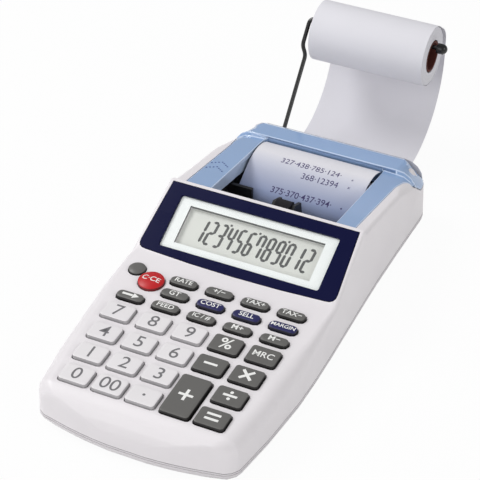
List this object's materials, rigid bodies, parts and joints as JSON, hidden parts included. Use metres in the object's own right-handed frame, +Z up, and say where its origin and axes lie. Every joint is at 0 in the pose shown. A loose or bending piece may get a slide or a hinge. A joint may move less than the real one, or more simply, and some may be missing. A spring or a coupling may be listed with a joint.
{
  "type": "printing calculator",
  "caption": "Wedge-shaped portable printing calculator with a raised display, a keypad, a cover-framed printer and a paper roll on a folding wire arm.",
  "frame": {"origin": "centre of the bounding box in plan, at the underside of the feet", "axes": "+X to the right of the user, +Y from the user towards the paper roll, +Z up"},
  "size_m": [0.1, 0.27, 0.073],
  "materials": {
    "case": "light grey-white moulded shell, fine satin",
    "tray": "light grey lower shell, fine satin",
    "digit_key": "light number keys, satin gloss",
    "dark_key": "dark grey keys, satin gloss",
    "navy_key": "navy keys, satin gloss",
    "red_key": "red domed key, gloss",
    "bezel": "navy bezel, smooth",
    "window": "clear window",
    "lcd": "grey-green liquid-crystal panel",
    "silicone": "translucent silicone mat",
    "board": "green circuit board",
    "cover": "translucent light blue cover",
    "black_plastic": "black moulded frame",
    "motor": "plated motor can",
    "gear": "moulded gear",
    "pinion": "turned brass pinion",
    "roller": "rubber feed roller",
    "steel": "ground steel shaft",
    "type": "rubber type wheel",
    "ink": "ink-soaked foam roller",
    "paper": "uncoated till roll paper",
    "core": "brown core",
    "wire": "black wire, satin",
    "cap": "black round cap",
    "foot": "rubber foot strip"
  },
  "bodies": {
    "body": {"upper_case": "case", "lower_case": "tray", "front_foot": "foot", "rear_foot": "foot", "display_bezel": "bezel", "display_window": "window", "lcd_panel": "lcd", "key_mat": "silicone", "main_board": "board", "printer_frame": "black_plastic", "printer_motor": "motor", "guide_shaft": "steel", "paper_strip": "paper"},
    "key_0": {"key_0": "digit_key"},
    "key_00": {"key_00": "digit_key"},
    "key_point": {"key_point": "digit_key"},
    "key_equals": {"key_equals": "dark_key"},
    "key_1": {"key_1": "digit_key"},
    "key_2": {"key_2": "digit_key"},
    "key_3": {"key_3": "digit_key"},
    "key_plus": {"key_plus": "dark_key"},
    "key_divide": {"key_divide": "dark_key"},
    "key_4": {"key_4": "digit_key"},
    "key_5": {"key_5": "digit_key"},
    "key_6": {"key_6": "digit_key"},
    "key_minus": {"key_minus": "dark_key"},
    "key_multiply": {"key_multiply": "dark_key"},
    "key_7": {"key_7": "digit_key"},
    "key_8": {"key_8": "digit_key"},
    "key_9": {"key_9": "digit_key"},
    "key_percent": {"key_percent": "dark_key"},
    "key_memory_total": {"key_memory_total": "dark_key"},
    "key_backspace": {"key_backspace": "dark_key"},
    "key_paper_feed": {"key_paper_feed": "dark_key"},
    "key_item_count": {"key_item_count": "dark_key"},
    "key_memory_plus": {"key_memory_plus": "dark_key"},
    "key_memory_minus": {"key_memory_minus": "dark_key"},
    "key_grand_total": {"key_grand_total": "dark_key"},
    "key_cost": {"key_cost": "navy_key"},
    "key_sell": {"key_sell": "navy_key"},
    "key_margin": {"key_margin": "navy_key"},
    "key_rate": {"key_rate": "dark_key"},
    "key_sign": {"key_sign": "dark_key"},
    "key_tax_plus": {"key_tax_plus": "dark_key"},
    "key_tax_minus": {"key_tax_minus": "dark_key"},
    "key_power": {"key_power": "dark_key"},
    "key_clear": {"key_clear": "red_key"},
    "printer_cover": {"printer_cover": "cover"},
    "battery_cover": {"battery_cover": "tray"},
    "arm": {"roll_arm": "wire", "axle_cap": "cap", "paper_web": "paper"},
    "roll": {"paper_roll": "paper", "roll_core": "core"},
    "feed": {"feed_roller": "roller", "feed_gear": "gear"},
    "pinion": {"motor_pinion": "pinion"},
    "head": {"print_head": "black_plastic"},
    "type": {"type_wheel": "type"},
    "ink": {"ink_roller": "ink"}
  },
  "joints": [
    {"name": "key_0_press", "type": "slide", "parent": "body", "child": "key_0", "axis": [0, 0.061, -0.9981], "range_m": [0, 0.0012], "stiffness_N_per_m": 400, "springref_m": -0.0005},
    {"name": "key_00_press", "type": "slide", "parent": "body", "child": "key_00", "axis": [0, 0.061, -0.9981], "range_m": [0, 0.0012], "stiffness_N_per_m": 400, "springref_m": -0.0005},
    {"name": "key_point_press", "type": "slide", "parent": "body", "child": "key_point", "axis": [0, 0.061, -0.9981], "range_m": [0, 0.0012], "stiffness_N_per_m": 400, "springref_m": -0.0005},
    {"name": "key_equals_press", "type": "slide", "parent": "body", "child": "key_equals", "axis": [0, 0.061, -0.9981], "range_m": [0, 0.0012], "stiffness_N_per_m": 400, "springref_m": -0.0005},
    {"name": "key_1_press", "type": "slide", "parent": "body", "child": "key_1", "axis": [0, 0.061, -0.9981], "range_m": [0, 0.0012], "stiffness_N_per_m": 400, "springref_m": -0.0005},
    {"name": "key_2_press", "type": "slide", "parent": "body", "child": "key_2", "axis": [0, 0.061, -0.9981], "range_m": [0, 0.0012], "stiffness_N_per_m": 400, "springref_m": -0.0005},
    {"name": "key_3_press", "type": "slide", "parent": "body", "child": "key_3", "axis": [0, 0.061, -0.9981], "range_m": [0, 0.0012], "stiffness_N_per_m": 400, "springref_m": -0.0005},
    {"name": "key_plus_press", "type": "slide", "parent": "body", "child": "key_plus", "axis": [0, 0.061, -0.9981], "range_m": [0, 0.0012], "stiffness_N_per_m": 400, "springref_m": -0.0005},
    {"name": "key_divide_press", "type": "slide", "parent": "body", "child": "key_divide", "axis": [0, 0.061, -0.9981], "range_m": [0, 0.0012], "stiffness_N_per_m": 400, "springref_m": -0.0005},
    {"name": "key_4_press", "type": "slide", "parent": "body", "child": "key_4", "axis": [0, 0.061, -0.9981], "range_m": [0, 0.0012], "stiffness_N_per_m": 400, "springref_m": -0.0005},
    {"name": "key_5_press", "type": "slide", "parent": "body", "child": "key_5", "axis": [0, 0.061, -0.9981], "range_m": [0, 0.0012], "stiffness_N_per_m": 400, "springref_m": -0.0005},
    {"name": "key_6_press", "type": "slide", "parent": "body", "child": "key_6", "axis": [0, 0.061, -0.9981], "range_m": [0, 0.0012], "stiffness_N_per_m": 400, "springref_m": -0.0005},
    {"name": "key_minus_press", "type": "slide", "parent": "body", "child": "key_minus", "axis": [0, 0.061, -0.9981], "range_m": [0, 0.0012], "stiffness_N_per_m": 400, "springref_m": -0.0005},
    {"name": "key_multiply_press", "type": "slide", "parent": "body", "child": "key_multiply", "axis": [0, 0.061, -0.9981], "range_m": [0, 0.0012], "stiffness_N_per_m": 400, "springref_m": -0.0005},
    {"name": "key_7_press", "type": "slide", "parent": "body", "child": "key_7", "axis": [0, 0.061, -0.9981], "range_m": [0, 0.0012], "stiffness_N_per_m": 400, "springref_m": -0.0005},
    {"name": "key_8_press", "type": "slide", "parent": "body", "child": "key_8", "axis": [0, 0.061, -0.9981], "range_m": [0, 0.0012], "stiffness_N_per_m": 400, "springref_m": -0.0005},
    {"name": "key_9_press", "type": "slide", "parent": "body", "child": "key_9", "axis": [0, 0.061, -0.9981], "range_m": [0, 0.0012], "stiffness_N_per_m": 400, "springref_m": -0.0005},
    {"name": "key_percent_press", "type": "slide", "parent": "body", "child": "key_percent", "axis": [0, 0.061, -0.9981], "range_m": [0, 0.0012], "stiffness_N_per_m": 400, "springref_m": -0.0005},
    {"name": "key_memory_total_press", "type": "slide", "parent": "body", "child": "key_memory_total", "axis": [0, 0.061, -0.9981], "range_m": [0, 0.0012], "stiffness_N_per_m": 400, "springref_m": -0.0005},
    {"name": "key_backspace_press", "type": "slide", "parent": "body", "child": "key_backspace", "axis": [0, 0.061, -0.9981], "range_m": [0, 0.0012], "stiffness_N_per_m": 400, "springref_m": -0.0005},
    {"name": "key_paper_feed_press", "type": "slide", "parent": "body", "child": "key_paper_feed", "axis": [0, 0.061, -0.9981], "range_m": [0, 0.0012], "stiffness_N_per_m": 400, "springref_m": -0.0005},
    {"name": "key_item_count_press", "type": "slide", "parent": "body", "child": "key_item_count", "axis": [0, 0.061, -0.9981], "range_m": [0, 0.0012], "stiffness_N_per_m": 400, "springref_m": -0.0005},
    {"name": "key_memory_plus_press", "type": "slide", "parent": "body", "child": "key_memory_plus", "axis": [0, 0.061, -0.9981], "range_m": [0, 0.0012], "stiffness_N_per_m": 400, "springref_m": -0.0005},
    {"name": "key_memory_minus_press", "type": "slide", "parent": "body", "child": "key_memory_minus", "axis": [0, 0.061, -0.9981], "range_m": [0, 0.0012], "stiffness_N_per_m": 400, "springref_m": -0.0005},
    {"name": "key_grand_total_press", "type": "slide", "parent": "body", "child": "key_grand_total", "axis": [0, 0.061, -0.9981], "range_m": [0, 0.0012], "stiffness_N_per_m": 400, "springref_m": -0.0005},
    {"name": "key_cost_press", "type": "slide", "parent": "body", "child": "key_cost", "axis": [0, 0.061, -0.9981], "range_m": [0, 0.0012], "stiffness_N_per_m": 400, "springref_m": -0.0005},
    {"name": "key_sell_press", "type": "slide", "parent": "body", "child": "key_sell", "axis": [0, 0.061, -0.9981], "range_m": [0, 0.0012], "stiffness_N_per_m": 400, "springref_m": -0.0005},
    {"name": "key_margin_press", "type": "slide", "parent": "body", "child": "key_margin", "axis": [0, 0.061, -0.9981], "range_m": [0, 0.0012], "stiffness_N_per_m": 400, "springref_m": -0.0005},
    {"name": "key_rate_press", "type": "slide", "parent": "body", "child": "key_rate", "axis": [0, 0.061, -0.9981], "range_m": [0, 0.0012], "stiffness_N_per_m": 400, "springref_m": -0.0005},
    {"name": "key_sign_press", "type": "slide", "parent": "body", "child": "key_sign", "axis": [0, 0.061, -0.9981], "range_m": [0, 0.0012], "stiffness_N_per_m": 400, "springref_m": -0.0005},
    {"name": "key_tax_plus_press", "type": "slide", "parent": "body", "child": "key_tax_plus", "axis": [0, 0.061, -0.9981], "range_m": [0, 0.0012], "stiffness_N_per_m": 400, "springref_m": -0.0005},
    {"name": "key_tax_minus_press", "type": "slide", "parent": "body", "child": "key_tax_minus", "axis": [0, 0.061, -0.9981], "range_m": [0, 0.0012], "stiffness_N_per_m": 400, "springref_m": -0.0005},
    {"name": "key_power_press", "type": "slide", "parent": "body", "child": "key_power", "axis": [0, 0.061, -0.9981], "range_m": [0, 0.0012], "stiffness_N_per_m": 400, "springref_m": -0.0005},
    {"name": "key_clear_press", "type": "slide", "parent": "body", "child": "key_clear", "axis": [0, 0.061, -0.9981], "range_m": [0, 0.0012], "stiffness_N_per_m": 400, "springref_m": -0.0005},
    {"name": "cover_lift", "type": "slide", "parent": "body", "child": "printer_cover", "axis": [0, 0, 1], "range_m": [0, 0.012]},
    {"name": "battery_cover_release", "type": "slide", "parent": "body", "child": "battery_cover", "axis": [0, 0, -1], "range_m": [0, 0.02]},
    {"name": "arm_fold", "type": "hinge", "parent": "body", "child": "arm", "pos_m": [0, 0.079, 0.0185], "axis": [1, 0, 0], "range_deg": [0, 42]},
    {"name": "roll_spin", "type": "hinge", "parent": "arm", "child": "roll", "pos_m": [0, 0.117, 0.0589], "axis": [1, 0, 0], "continuous": true},
    {"name": "feed_spin", "type": "hinge", "parent": "body", "child": "feed", "pos_m": [0, 0.0303, 0.0185], "axis": [1, 0, 0], "continuous": true},
    {"name": "pinion_spin", "type": "hinge", "parent": "body", "child": "pinion", "pos_m": [0, 0.01737, 0.0096], "axis": [1, 0, 0], "continuous": true},
    {"name": "head_slide", "type": "slide", "parent": "body", "child": "head", "axis": [1, 0, 0], "range_m": [-0.0135, 0.021]},
    {"name": "type_spin", "type": "hinge", "parent": "head", "child": "type", "pos_m": [0, 0.0192, 0.0215], "axis": [1, 0, 0], "continuous": true},
    {"name": "ink_spin", "type": "hinge", "parent": "head", "child": "ink", "pos_m": [0, 0.0137, 0.0289], "axis": [1, 0, 0], "continuous": true}
  ],
  "couplings": [
    {"joint": "pinion_spin", "follows": "feed_spin", "ratio": -2.5455}
  ]
}
